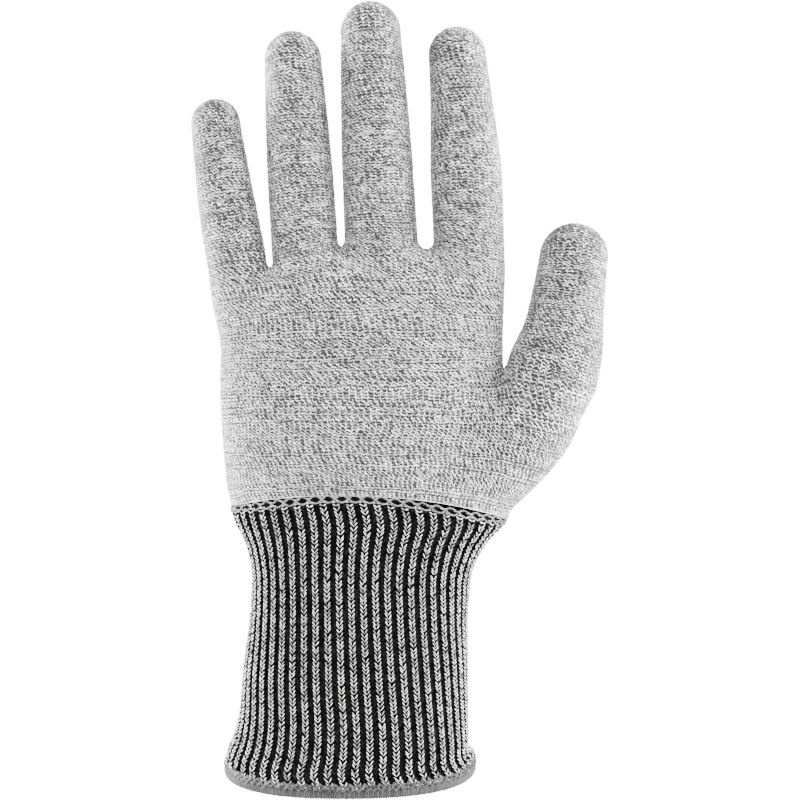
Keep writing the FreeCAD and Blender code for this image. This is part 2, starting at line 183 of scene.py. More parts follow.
hand_width, hand_x = half_and_middle("upper_palm", 0)
hand_depth = half_and_middle("upper_palm", 1)[0]
hem_width, hem_x = half_and_middle("hem_overlock", 0)
hem_depth = half_and_middle("hem_overlock", 1)[0]

# Stations up the flat oval that the cuff and the palm share: height, middle, half width and half depth.
OVALS = [
    (0.0, hem_x, hem_width - 0.6, hem_depth - 0.5),
    (4.0, hem_x, hem_width - 0.8, hem_depth - 0.6),
    (WRIST_Z - 60.0, hem_x - 0.7, hem_width - 2.0, hem_depth - 0.9),
    (WRIST_Z - 55.0, 0.3, 38.5, 31.2),
    (WRIST_Z - 31.0, 2.0, 36.7, 29.4),
    (WRIST_Z - 10.0, 3.4, 35.7, 28.0),
    (WRIST_Z + 1.0, 4.3, 36.5, 27.3),
    (WRIST_Z + 9.0, 5.6, 39.7, 26.4),
    (WRIST_Z + 17.0, 7.2, 45.2, 25.2),
    (LINK_Z + 5, 6.4, 46.5, 23.9),
    (LINK_Z + 22, 4.7, 46.8, 20.6),
    (CROTCH_Z, 3.8, 46.9, 17.8),
    (CROTCH_Z + 13, 3.6, 46.4, 16.2),
    (KNUCKLE_Z, 2.8, 47.3, 15.0),
    (ROOT_Z + 2, 1.8, 48.7, 12.9),
]
OVAL_Z, OVAL_X, OVAL_WIDTH, OVAL_DEPTH = (np.array(row) for row in zip(*OVALS))
SLAB_POWER = 2.35  # of the oval's outline: 2 is an ellipse, and more is squarer
WEB_BLEND, FINGER_BLEND, PALM_BLEND, THUMB_BLEND = 11.0, 1.2, 4.0, 7.0  # mm, the reach of each smooth join
# The web between two stalls tops out near these heights.
WEB_X = [(stalls[a].root[0] + stalls[b].root[0]) / 2 for a, b in zip(FINGERS, FINGERS[1:])]
WEB_Z = [ROOT_Z - 2.6, ROOT_Z + 4.6, ROOT_Z + 4.0]


def slab_field(points):
    x, y, z = points.T
    middle, wide, deep = (smooth_curve(z, OVAL_Z, row) for row in (OVAL_X, OVAL_WIDTH, OVAL_DEPTH))
    across, through = np.abs(x - middle) / wide, np.abs(y) / deep
    power = SLAB_POWER
    level = np.maximum(across**power + through**power, 1e-6) ** (1 / power)
    steep = level ** (1 - power) * np.hypot(across ** (power - 1) / wide, through ** (power - 1) / deep)
    side = (level - 1) / np.maximum(steep, 1e-4)
    top = z - np.interp(x, WEB_X, WEB_Z)
    return smooth_max(side, top, WEB_BLEND)


def rod_field(points, a, b, radius_a, radius_b):
    a, b = np.asarray(a, float), np.asarray(b, float)
    t = np.clip((points - a) @ (b - a) / ((b - a) @ (b - a)), 0, 1)
    return np.linalg.norm(points - a - t[:, None] * (b - a), axis=1) - radius_a - t * (radius_b - radius_a)


# The ball of the thumb, from the wrist's thumb side up into the thumb's root: x and z from the root, then y
# and the radius.
BALL_STATIONS = [
    (-27.5, -33.0, -0.5, 15.4),
    (-20.5, -26.5, -1.5, 15.9),
    (-11.1, -16.6, -2.5, 15.5),
    (-6.1, -9.2, -2.0, 14.5),
    (-1.5, 3.0, -1.5, 13.4),
]
BALL_RODS = 10


def ball_chain():
    """The ball of the thumb as short rods along a smooth curve through its stations."""
    place = np.linspace(0, len(BALL_STATIONS) - 1, BALL_RODS + 1)
    x, z, y, radius = (smooth_curve(place, range(len(BALL_STATIONS)), row) for row in zip(*BALL_STATIONS))
    centres = np.stack([thumb.root[0] + x, y, thumb.root[2] + z], 1)
    return list(zip(centres, centres[1:], radius, radius[1:]))


ball_rods = ball_chain()


def hand_field(points):
    z = points[:, 2]
    fingers = stalls[FINGERS[0]].field(points)
    for name in FINGERS[1:]:
        fingers = smooth_min(fingers, stalls[name].field(points), FINGER_BLEND)
    body = smooth_min(slab_field(points), fingers, PALM_BLEND)
    ball = np.min([rod_field(points, *rod) for rod in ball_rods], axis=0)
    below_root = np.clip(thumb.root[2] - 6 - z, 0, 1e3)  # the thumb's tube fades out under its root
    ball = smooth_min(ball, thumb.field(points) + below_root, THUMB_BLEND)
    reach = np.interp(z, [LINK_Z - 2, LINK_Z + 14, CROTCH_Z - 8, CROTCH_Z + 2], [1.0, 11.0, 6.0, 1.5])
    return smooth_min(body, ball, reach)


def field_and_normal(points):
    step = 0.05
    value = hand_field(points)
    slope = np.stack([hand_field(points + step * np.eye(3)[k]) - value for k in range(3)], 1) / step
    return value, slope


def settle(points, rounds=1):
    """Moves points onto the hand's surface along its slope. Returns them and the outward normals."""
    for _ in range(rounds):
        value, slope = field_and_normal(points)
        points = points - (value / np.maximum((slope * slope).sum(1), 0.05))[:, None] * slope
    return points, slope / np.maximum(np.linalg.norm(slope, axis=1), 1e-6)[:, None]


def crotch_between(left_x, right_x, high, low):
    """The lowest open point of the gap between two stalls, found from above, on the plane y = 0."""
    x = np.linspace(left_x, right_x, 120)
    y = np.zeros_like(x)
    for z in np.arange(high, low, -0.1):
        gap = hand_field(np.stack([x, y, np.full_like(x, z)], 1))
        if gap.max() < 0:
            return np.array([x[gap.argmax()], 0.0, z])
    raise ValueError("the gap between two stalls has no bottom")


# --- the net: wales and courses laid over the surface, and relaxed -----------
NET_PITCH = 2.4  # mm between the net's lines, coarser than the stitches that are later laid along it
LOWER_ROWS, UPPER_ROWS = 18, 16
FINGER_COLUMNS = {"little": 11, "ring": 13, "middle": 14, "index": 14}  # across the front of each stall
THUMB_COLUMNS = 15
RELAX_ROUNDS = 160

front_count = sum(FINGER_COLUMNS.values())
cuts = np.cumsum([0] + [FINGER_COLUMNS[name] for name in FINGERS])


LINK_RISE, LINK_DIP, LINK_SLANT = 6.1, 6.7, 2.2  # mm: at the middle, towards both sides, across the wrist


def link_height(angle):
    """The linking course's height round the wrist. It dips at both sides, more on the thumb's."""
    return LINK_Z + LINK_RISE - LINK_DIP * np.cos(angle) ** 2 + LINK_SLANT * np.cos(angle)


def oval_ring(angle, height):
    """Points round the cuff. The angle starts at the little finger's side and turns over the palm side."""
    middle, wide, deep = (smooth_curve(height, OVAL_Z, row) for row in (OVAL_X, OVAL_WIDTH, OVAL_DEPTH))
    power = 2 / SLAB_POWER
    x = middle - wide * np.sign(np.cos(angle)) * np.abs(np.cos(angle)) ** power
    y = -deep * np.sign(np.sin(angle)) * np.abs(np.sin(angle)) ** power
    return np.stack([x, y, height + 0 * angle], -1)


def even_angles(count, height_of):
    """Angles that split a ring round the cuff into even lengths."""
    fine = np.linspace(0, 2 * math.pi, 1441)
    points = oval_ring(fine, height_of(fine))
    run = np.concatenate([[0], np.cumsum(np.linalg.norm(np.diff(points, axis=0), axis=1))])
    return np.interp(np.linspace(0, run[-1], count + 1)[:-1], run, fine)


def link_ring(count):
    angles = even_angles(count, link_height)
    return oval_ring(angles, link_height(angles))


class Net:
    """Blocks of rows and columns whose rims share points where the tube branches."""

    def __init__(self):
        self.points = []
        self.blocks = {}
        self.pinned = set()

    def add(self, place):
        self.points.append(np.asarray(place, float))
        return len(self.points) - 1

    def edges(self):
        found = set()
        for ids in self.blocks.values():
            ring = np.concatenate([ids, ids[:, :1]], 1)
            pairs = [(ring[:, :-1], ring[:, 1:]), (ids[:-1], ids[1:])]
            for a, b in pairs:
                for one, two in zip(a.ravel(), b.ravel()):
                    if one != two:
                        found.add((min(one, two), max(one, two)))
        return np.array(sorted(found))


def oval_point(share, middle, wide, deep, height, y_middle=0.0):
    """A point on a flat oval, share of the way round from its left end over the palm side."""
    angle = 2 * math.pi * share
    return [middle - wide * math.cos(angle), y_middle - deep * math.sin(angle), height]


def stall_ring(stall, distance, count, squeeze=1.0):
    side = np.cross(stall.back, stall.way)
    angle = 2 * math.pi * np.arange(count) / count
    radius = np.interp(min(distance, stall.dome_start), stall.table_t, stall.table_r) * squeeze
    outward = -np.cos(angle)[:, None] * side - np.sin(angle)[:, None] * stall.back
    return stall.at(distance) + radius * outward


def add_stall(net, stall, first_row):
    """Rows of points up a stall from its first row, closed over the dome with a line from side to side."""
    count = len(first_row)
    rows = int(round((stall.length + 6) / NET_PITCH))
    ids = [first_row]
    for row in range(1, rows):
        share = row / rows
        distance = stall.length * share
        over = max(distance - stall.dome_start, 0) / (stall.length - stall.dome_start)
        ring = stall_ring(stall, distance, count, math.sqrt(max(1 - over * over, 0.02)))
        ids.append([net.add(place) for place in ring])
    side = np.cross(stall.back, stall.way)
    half = count // 2
    reach = stall.radii[-1] * 0.55
    line = [net.add(stall.at(stall.length) + side * reach * (2 * k / half - 1)) for k in range(half + 1)]
    net.pinned.add(line[half // 2])
    ids.append(line + line[half - 1 : 0 : -1])
    net.blocks[stall.name] = np.array(ids)


def build_net():
    net = Net()
    total = front_count + THUMB_COLUMNS
    ring_size = 2 * total
    foot = link_ring(ring_size)
    ids = [[net.add(place) for place in foot]]
    net.pinned.update(ids[0])
    thumb_crotch = crotch_between(hand_x + hand_width - 7, thumb.root[0] - 6, CROTCH_Z + 30, CROTCH_Z - 40)
    low_wide, low_middle, low_deep = 47.0, 8.0, 24.5
    thumb_side, little_side = thumb.root[0] + 13, hand_x - hand_width
    high_wide, high_middle = (thumb_side - little_side) / 2, (thumb_side + little_side) / 2
    for row in range(1, LOWER_ROWS + 1):
        share = row / LOWER_ROWS
        height = LINK_Z + (CROTCH_Z - 1 - LINK_Z) * share
        wide = low_wide + (high_wide - low_wide) * share
        middle = low_middle + (high_middle - low_middle) * share
        deep = low_deep + (hand_depth + 1 - low_deep) * share
        if row < LOWER_ROWS:
            places = [oval_point(n / ring_size, middle, wide, deep, height) for n in range(ring_size)]
            ids.append([net.add(place) for place in places])
            continue
        line = []
        for n in range(ring_size):
            hand_side = n <= front_count or n >= ring_size - front_count
            if n == ring_size - front_count:
                line.append(line[front_count])
            elif n == front_count:
                line.append(net.add(thumb_crotch))
            elif hand_side:
                step = n if n < front_count else n - (ring_size - 2 * front_count)
                place = oval_point(step / (2 * front_count), hand_x, hand_width, hand_depth, height)
                line.append(net.add(place))
            else:
                step = n - front_count
                place = stall_ring(thumb, 0.0, 2 * THUMB_COLUMNS)[step]
                line.append(net.add(place))
        ids.append(line)
        net.pinned.add(line[front_count])
    net.blocks["lower"] = np.array(ids)
    top = ids[-1]
    upper = [top[: front_count + 1] + top[ring_size - front_count + 1 :]]
    add_stall(net, thumb, top[front_count : ring_size - front_count])

    ring_size = 2 * front_count
    crotches = [
        crotch_between(stalls[a].root[0], stalls[b].root[0], ROOT_Z + 24, ROOT_Z - 24)
        for a, b in zip(FINGERS, FINGERS[1:])
    ]
    for row in range(1, UPPER_ROWS):
        height = CROTCH_Z + (ROOT_Z - CROTCH_Z) * row / UPPER_ROWS
        places = [oval_point(n / ring_size, hand_x, hand_width, hand_depth, height) for n in range(ring_size)]
        upper.append([net.add(place) for place in places])
    line = [None] * ring_size
    for k in (1, 2, 3):
        shared = net.add(crotches[k - 1])
        net.pinned.add(shared)
        line[cuts[k]] = line[ring_size - cuts[k]] = shared
    for k, name in enumerate(FINGERS):
        columns = FINGER_COLUMNS[name]
        ring = stall_ring(stalls[name], 1.0, 2 * columns)
        for n in range(2 * columns):
            slot = cuts[k] + n if n <= columns else ring_size - cuts[k] - (2 * columns - n)
            if n > columns:
                slot = ring_size - cuts[k + 1] + (n - columns)
            slot %= ring_size
            if line[slot] is None:
                line[slot] = net.add(ring[n])
    upper.append(line)
    net.blocks["upper"] = np.array(upper)
    for k, name in enumerate(FINGERS):
        front = line[cuts[k] : cuts[k + 1] + 1]
        back = line[ring_size - cuts[k + 1] + 1 : ring_size - cuts[k]]
        add_stall(net, stalls[name], front + back)
    return net


def relax(net):
    """Evens the net out on the surface. Its foot, its crotches and the middle of each dome stay put."""
    points, _ = settle(np.array(net.points), 3)
    pinned = sorted(net.pinned)
    held = np.array(net.points)[pinned]
    edges = net.edges()
    size = len(points)
    one, two = edges.T
    degree = np.bincount(one, minlength=size) + np.bincount(two, minlength=size)
    for _ in range(RELAX_ROUNDS):
        sums = [
            np.bincount(one, points[two, k], size) + np.bincount(two, points[one, k], size) for k in range(3)
        ]
        points = points + 0.9 * (np.stack(sums, 1) / degree[:, None] - points)
        points[pinned] = held
        points, _ = settle(points)
        points[pinned] = held
    return points


net = build_net()
net_points = relax(net)


# --- meshes ------------------------------------------------------------------
def make_object(name, points, quads, uv=None, values=None):
    """A smooth quad mesh. points are in mm, uv is per quad corner, and values holds per-point attributes."""
    mesh = bpy.data.meshes.new(name)
    mesh.from_pydata(np.asarray(points) * MM, [], np.asarray(quads))
    mesh.polygons.foreach_set("use_smooth", np.ones(len(quads), bool))
    if uv is not None:
        layer = mesh.uv_layers.new(name="stitches")
        layer.data.foreach_set("uv", np.asarray(uv, np.float32).ravel())
    for key, column in (values or {}).items():
        attribute = mesh.attributes.new(key, "FLOAT", "POINT")
        attribute.data.foreach_set("value", np.asarray(column, np.float32))
    mesh.update()
    thing = bpy.data.objects.new(name, mesh)
    bpy.context.scene.collection.objects.link(thing)
    return thing


class Sheets:
    """Collects grids of points into one mesh."""

    def __init__(self):
        self.points, self.quads, self.uv, self.relief, self.count = [], [], [], [], 0

    def add(self, grid, u, v, relief, closed=True, inward=False):
        """grid is rows x columns x 3. u and v are the stitch coordinates of the columns and the rows."""
        rows, columns = grid.shape[:2]
        ids = np.arange(rows * columns).reshape(rows, columns) + self.count
        if closed:
            ids = np.concatenate([ids, ids[:, :1]], 1)
            u = np.append(u, u[-1] + (u[1] - u[0]))
        corners = [ids[:-1, :-1], ids[:-1, 1:], ids[1:, 1:], ids[1:, :-1]]
        u_corners = [u[:-1], u[1:], u[1:], u[:-1]]
        v_corners = [v[:-1], v[:-1], v[1:], v[1:]]
        if inward:
            corners, u_corners, v_corners = corners[::-1], u_corners[::-1], v_corners[::-1]
        shape = corners[0].shape
        self.quads.append(np.stack([c.ravel() for c in corners], 1))
        uv = [
            np.stack([np.broadcast_to(a[None, :], shape), np.broadcast_to(b[:, None], shape)], -1)
            for a, b in zip(u_corners, v_corners)
        ]
        self.uv.append(np.stack(uv, 2).reshape(-1, 2))
        self.points.append(grid.reshape(-1, 3))
        self.relief.append(np.broadcast_to(relief, (rows, columns)).ravel())
        self.count += rows * columns

    def build(self, name):
        points, quads, uv = (np.concatenate(parts) for parts in (self.points, self.quads, self.uv))
        return make_object(name, points, quads, uv, {"relief": np.concatenate(self.relief)})


# --- plain knit: V stitches along the net ------------------------------------
COURSE = 1.02  # mm from one course to the next
PALM_COURSE = 0.97
WALE_STEPS = 4  # columns of points across a V: its edge, a leg, its middle, a leg
COURSE_STEPS = 3
LEG_HEIGHT = np.array([0.7, 1.0, 0.8, 1.0])  # share of the relief at each column of a V
BELLY = np.array([0.12, 1.0, 0.82])  # and at each row of a course, from the gap at its foot
CHEVRON = 0.5  # how far a leg climbs, in courses, from the V's middle to its edge
STITCH_RELIEF = 0.42  # mm from the bottom of the gaps to the top of a leg
STITCH_SWAY = 0.06  # how unevenly the stitches sit, in courses
KNIT_THICKNESS = 1.0
rng = np.random.default_rng(20)
PALM_WALES = (64, 18)  # across the front: the part that feeds the fingers, the part that feeds the thumb
STALL_WALES = {"little": 15, "ring": 17, "middle": 19, "index": 19, "thumb": 20}


def sample(block, v, u):
    """The net's surface at rows v and columns u, straight between its points."""
    ring = np.concatenate([block, block[:, :1]], 1)
    v = np.clip(v, 0, ring.shape[0] - 1)
    u = np.clip(u, 0, ring.shape[1] - 1)
    row = np.minimum(v.astype(int), ring.shape[0] - 2)
    column = np.minimum(u.astype(int), ring.shape[1] - 2)
    dv, du = (v - row)[..., None], (u - column)[..., None]
    low = ring[row, column] * (1 - du) + ring[row, column + 1] * du
    high = ring[row + 1, column] * (1 - du) + ring[row + 1, column + 1] * du
    return low * (1 - dv) + high * dv


def settle_grid(grid):
    points, normals = settle(grid.reshape(-1, 3), 2)
    return points.reshape(grid.shape), normals.reshape(grid.shape)


def with_neighbours(block, below, above):
    """The block with the net's next row at either end where there is one, and the first row's new number."""
    parts = [block]
    if below is not None:
        parts.insert(0, below[None])
    if above is not None:
        parts.append(above[None])
    return np.concatenate(parts), int(below is not None)


def knit_grid(block, wale_map, wales, courses, first, last, below=None, above=None):
    """Raised V stitches over a block of the net, from one course to another.

    wale_map turns a wale number into the net's column. below and above are the net's rows past the block's
    ends. The zigzag dies out at an end that has none. Returns the points, u, v and the relief's share.
    """
    a = np.arange(wales * WALE_STEPS)
    b = np.arange(first * COURSE_STEPS, last * COURSE_STEPS + 1)
    u, v = a / WALE_STEPS, b / COURSE_STEPS
    across = np.abs(2 * (u % 1) - 1)
    far = np.full_like(v, 9.0)
    to_end = np.minimum(v if below is None else far, courses - v if above is None else far)
    climb = CHEVRON * (across - 0.5)[None, :] * np.clip(to_end, 0, 1)[:, None]
    sway = rng.normal(0, STITCH_SWAY, (courses + 2, wales))
    sway = sway[(b // COURSE_STEPS)[:, None], (a // WALE_STEPS)[None, :]]
    climb = climb + sway * np.clip(to_end - 1, 0, 1)[:, None]
    rows = block.shape[0] - 1
    block, base = with_neighbours(block, below, above)
    place_v = base + (v[:, None] + climb) * rows / courses
    place_u = np.broadcast_to(wale_map(u)[None, :], place_v.shape)
    points, normals = settle_grid(sample(block, place_v, place_u))
    share = BELLY[b % COURSE_STEPS][:, None] * LEG_HEIGHT[a % WALE_STEPS][None, :]
    fullness = rng.uniform(0.7, 1.3, (courses + 2, 2 * wales))
    share = share * fullness[(b // COURSE_STEPS)[:, None], (2 * a // WALE_STEPS)[None, :]]
    lift = STITCH_RELIEF * (share - 0.55)
    return points + normals * lift[..., None], u, v, share


def lining_grid(block, wale_map, wales, courses, first, last, below=None, above=None):
    """The knit's inner face, one quad to a stitch."""
    u, v = np.arange(wales).astype(float), np.arange(first, last + 1).astype(float)
    rows = block.shape[0] - 1
    block, base = with_neighbours(block, below, above)
    place_v = np.broadcast_to((base + v * rows / courses)[:, None], (len(v), len(u)))
    place_u = np.broadcast_to(wale_map(u)[None, :], place_v.shape)
    points, normals = settle_grid(sample(block, place_v, place_u))
    return points - normals * KNIT_THICKNESS, u, v, 0.3


def add_knit(sheets, *where, start=0, **ends):
    """A block's outer and inner faces. Its courses are numbered from start."""
    for make, inward in ((knit_grid, False), (lining_grid, True)):
        grid, u, v, share = make(*where, **ends)
        sheets.add(grid, u, v + start, share, inward=inward)


blocks = {name: net_points[ids] for name, ids in net.blocks.items()}


def finger_slots(name):
    """The columns of the hand's ring that run on into a finger."""
    k = FINGERS.index(name)
    ring_size = 2 * front_count
    front = list(range(cuts[k], cuts[k + 1] + 1))
    back = list(range(ring_size - cuts[k + 1] + 1, ring_size - cuts[k] + (1 if k == 0 else 0)))
    return [slot % ring_size for slot in front + back][: 2 * FINGER_COLUMNS[name]]


def hand_slots():
    """The columns of the lower palm's ring that run on into the hand, and those that run into the thumb."""
    ring_size = 2 * (front_count + THUMB_COLUMNS)
    hand = list(range(front_count + 1)) + list(range(ring_size - front_count + 1, ring_size))
    return hand, list(range(front_count, ring_size - front_count))


def rows_past_ends():
    """For each block of the net, its neighbours' next rows below and above."""
    lower, upper = blocks["lower"], blocks["upper"]
    hand, ball = hand_slots()
    over_lower = np.empty_like(lower[0])
    over_lower[ball] = blocks["thumb"][1]
    over_lower[hand] = upper[1]
    over_lower[front_count] = (upper[1][front_count] + blocks["thumb"][1][0]) / 2
    over_upper = np.empty_like(upper[0])
    past = {"thumb": {"below": lower[-2][ball], "above": None}}
    for name in FINGERS:
        slots = finger_slots(name)
        over_upper[slots] = blocks[name][1]
        past[name] = {"below": upper[-2][slots], "above": None}
    past["lower"] = {"below": None, "above": over_lower}
    past["upper"] = {"below": lower[-2][hand], "above": over_upper}
    return past


past_ends = rows_past_ends()


def courses_along(points, course=COURSE):
    """How many courses fit along a line of the net's points."""
    return round(float(np.linalg.norm(np.diff(points, axis=0), axis=1).sum()) / course)


def knit_palm():
    hand, ball = PALM_WALES
    total = front_count + THUMB_COLUMNS
    wales = 2 * (hand + ball)
    stitch_marks = [0, hand, hand + ball, hand + 2 * ball, wales]
    net_marks = [0, front_count, total, total + THUMB_COLUMNS, 2 * total]
    parts = (
        ("lower", wales, lambda u: np.interp(u, stitch_marks, net_marks)),
        ("upper", 2 * hand, lambda u: u * front_count / hand),
    )
    sheets = Sheets()
    start = 0
    for name, count, wale_map in parts:
        courses = courses_along(blocks[name][:, 20], PALM_COURSE)
        where = (blocks[name], wale_map, count, courses, 0, courses)
        add_knit(sheets, *where, start=start, **past_ends[name])
        start += courses
    return sheets.build("palm_knit")


def knit_stall(name):
    """A stall's two pieces: up to between its two bends, and the rest."""
    stall, block = stalls[name], blocks[name]
    wales = 2 * STALL_WALES[name]
    courses = courses_along(block[:, block.shape[1] // 4])
    heights = (block.mean(1) - stall.root) @ stall.way
    split = np.interp((stall.bends[0] + stall.bends[1]) / 2, heights, np.arange(len(heights)))
    cut = round(split * courses / (block.shape[0] - 1))
    made = []
    for part, first, last in ((f"{name}_knit", 0, cut), (f"{name}_tip_knit", cut, courses)):
        sheets = Sheets()
        where = (block, lambda u: u * block.shape[1] / wales, wales, courses, first, last)
        add_knit(sheets, *where, start=1, **past_ends[name])
        made.append(sheets.build(part))
    return made


palm_knit = knit_palm()
stall_knits = {name: knit_stall(name) for name in STALLS}


# --- the cuff: grey ribs on a black ground -----------------------------------
RIBS = 55  # an odd number, so that the linking thread's two turns round the wrist cross over each rib
CUFF_COURSE = 1.22  # mm from one course of the ribs to the next
CUFF_TWIST = 0.00047  # share of the way round that the ribs turn in each mm down from the linking line
RIB_SWAY = 0.12  # how unevenly the ribs' stitches sit, in courses
CUFF_FOOT = 2.9  # mm, where the ribs come out of the hem
BAND = 2.1  # mm, the linking band below the linking line, along the fabric
RIB_EDGE = 0.21  # share of the rib pitch, from the valley's middle to the rib's edge
# Across one rib pitch from a valley's middle: the place, the lift, and the share of the stitches' relief.
RIB_COLUMNS = np.array([0.0, 0.1, 0.18, 0.23, 0.32, 0.42, 0.5, 0.58, 0.68, 0.77, 0.82, 0.9])
RIB_LIFT = np.array([0.0, 0.02, 0.1, 0.62, 0.95, 0.84, 0.55, 0.84, 0.95, 0.62, 0.1, 0.02])
RIB_SHARE = np.array([0.0, 0.0, 0.0, 0.7, 1.0, 0.95, 0.6, 0.95, 1.0, 0.7, 0.0, 0.0])
RIB_BELLY = np.array([0.0, 0.75, 1.0, 0.65])
RIB_STEPS = len(RIB_BELLY)
RIB_CLIMB = 1.25  # how far a rib's leg climbs, in courses, from the V's middle to the rib's edge
RIB_HEIGHT = 1.0  # mm from the valleys to a rib's top
RIB_RELIEF = 0.55  # mm, the stitches' own relief on a rib
CUFF_THICKNESS = 1.1
LINING_ROWS = 46


class CuffWall:
    """The cuff's oval wall. A place on it is a share of the way round, by length, and a height."""

    def __init__(self):
        self.heights = np.linspace(-1, LINK_Z + 12, 160)
        self.fine = 720
        rings = [even_angles(self.fine, lambda a, z=z: z + 0 * a) for z in self.heights]
        self.angles = np.stack([np.append(ring, 2 * math.pi) for ring in rings])

    def angle(self, share, height):
        row = np.interp(height, self.heights, np.arange(len(self.heights)))
        low = np.minimum(row.astype(int), len(self.heights) - 2)
        place = (share % 1.0) * self.fine
        column = np.minimum(place.astype(int), self.fine - 1)
        ease_row, ease = row - low, place - column
        under, over = (
            self.angles[row, column] * (1 - ease) + self.angles[row, column + 1] * ease
            for row in (low, low + 1)
        )
        return under * (1 - ease_row) + over * ease_row

    def at(self, share, height, lift):
        """Points lifted off the wall. The three arrays have one shape."""
        angle = self.angle(share + CUFF_TWIST * (LINK_Z - height), height)
        base = oval_ring(angle, height)
        around = oval_ring(angle + 0.004, height) - base
        upward = oval_ring(angle, height + 0.05) - base
        normal = np.cross(around, upward)
        normal /= np.linalg.norm(normal, axis=-1, keepdims=True)
        return base + normal * lift[..., None]


wall = CuffWall()


def band_height(share):
    """The linking band's height. The fabric slopes outwards at both sides, and the band is lower there."""
    return BAND * (1 - 0.3 * np.cos(2 * math.pi * share) ** 2)


def band_foot(share):
    """The height where the cuff ends and the linking band starts."""
    return link_height(2 * math.pi * share) - band_height(share)


def make_cuff():
    f = np.tile(RIB_COLUMNS, RIBS)
    u = f + np.repeat(np.arange(RIBS), len(RIB_COLUMNS))
    courses = round((LINK_Z + 2 - CUFF_FOOT) / CUFF_COURSE)
    b = np.arange(courses * RIB_STEPS + 1)
    v = b / RIB_STEPS
    inside = np.clip((f - RIB_EDGE) / (1 - 2 * RIB_EDGE), 0, 1)
    in_valley = np.clip(np.minimum(f, 1 - f) / RIB_EDGE, 0, 1)
    climb = RIB_CLIMB * (np.abs(2 * inside - 1) * in_valley - 0.5)
    fade = np.clip(np.minimum(v, courses - v) / 1.5, 0, 1)
    sway = rng.normal(0, RIB_SWAY, (courses + 1, 2 * RIBS))
    sway = sway[(b // RIB_STEPS)[:, None], np.minimum((2 * u).astype(int), 2 * RIBS - 1)[None, :]]
    share = np.broadcast_to(u[None, :] / RIBS, (len(v), len(u)))
    top = band_foot(share)
    height = CUFF_FOOT + (top - CUFF_FOOT) * (v[:, None] + (climb[None, :] + sway) * fade[:, None]) / courses
    belly = RIB_BELLY[b % RIB_STEPS][:, None]
    rib = np.tile(RIB_SHARE, RIBS)[None, :]
    tone = belly * rib
    lift = RIB_HEIGHT * np.tile(RIB_LIFT, RIBS)[None, :] + RIB_RELIEF * (tone - 0.5 * rib) * (1 + sway)
    lift = lift + 0.06 * (1 - np.minimum(rib * 3, 1)) * (belly > 0.9)
    sheets = Sheets()
    sheets.add(wall.at(share, height, lift - 0.4), u, v, tone)
    columns = np.arange(2 * RIBS)
    share = np.broadcast_to(columns[None, :] / len(columns), (LINING_ROWS, len(columns)))
    height = CUFF_FOOT + (band_foot(share) - CUFF_FOOT) * np.linspace(0, 1, LINING_ROWS)[:, None]
    ripple = np.where(columns % 2 == 0, 0.0, 0.25)[None, :]
    inner = wall.at(share, height, ripple - CUFF_THICKNESS - 0.4)
    sheets.add(inner, columns / 2.0, np.linspace(0, courses, LINING_ROWS), 0.0, inward=True)
    return sheets.build("cuff_rib_knit")


def thread(sheets, path, radius, sides=6, closed_path=False, u_start=0.0, tone=1.0):
    """A round thread along a path of points, as one grid."""
    path = np.asarray(path, float)
    if closed_path:
        path = np.concatenate([path, path[:1]])
        way = np.roll(path[:-1], -1, 0) - np.roll(path[:-1], 1, 0)
        way = np.concatenate([way, way[:1]])
    else:
        way = np.gradient(path, axis=0)
    way /= np.linalg.norm(way, axis=1, keepdims=True)
    side = np.cross(way, (0.03, 0.02, 1.0))
    flat = np.linalg.norm(side, axis=1) < 0.3
    side[flat] = np.cross(way[flat], (1.0, 0.0, 0.0))
    side /= np.linalg.norm(side, axis=1, keepdims=True)
    other = np.cross(way, side)
    turn = 2 * math.pi * np.arange(sides) / sides
    radius = np.broadcast_to(np.asarray(radius, float), (len(path),))
    ring = side[:, None] * np.cos(turn)[None, :, None] + other[:, None] * np.sin(turn)[None, :, None]
    grid = path[:, None] + ring * radius[:, None, None]
    length = np.concatenate([[0], np.cumsum(np.linalg.norm(np.diff(path, axis=0), axis=1))])
    sheets.add(grid, u_start + np.arange(sides) / sides, length, tone)


def make_band():
    """The linking band's black ground, six columns to a rib."""
    count, rows = 6 * RIBS, 5
    share = np.broadcast_to((np.arange(count) / count)[None, :], (rows, count))
    height = band_foot(share) - 0.3 + (band_height(share) + 0.8) * np.linspace(0, 1, rows)[:, None]
    sheets = Sheets()
    for lift, inward in ((-0.42, False), (-CUFF_THICKNESS - 0.4, True)):
        grid = wall.at(share, height, np.full(share.shape, lift))
        sheets.add(grid, np.arange(count) / 6.0, np.linspace(0, 2, rows), 0.0, inward=inward)
    return sheets.build("linking_band_ground")


PLY_RADIUS = 0.155
LINK_STEPS = 20  # points along a strand from one rib to the next
PLY_TWIST = 1.5  # mm along a thread for one turn of its plies
LENS = 1.15  # mm, half the height between the two strands over a valley


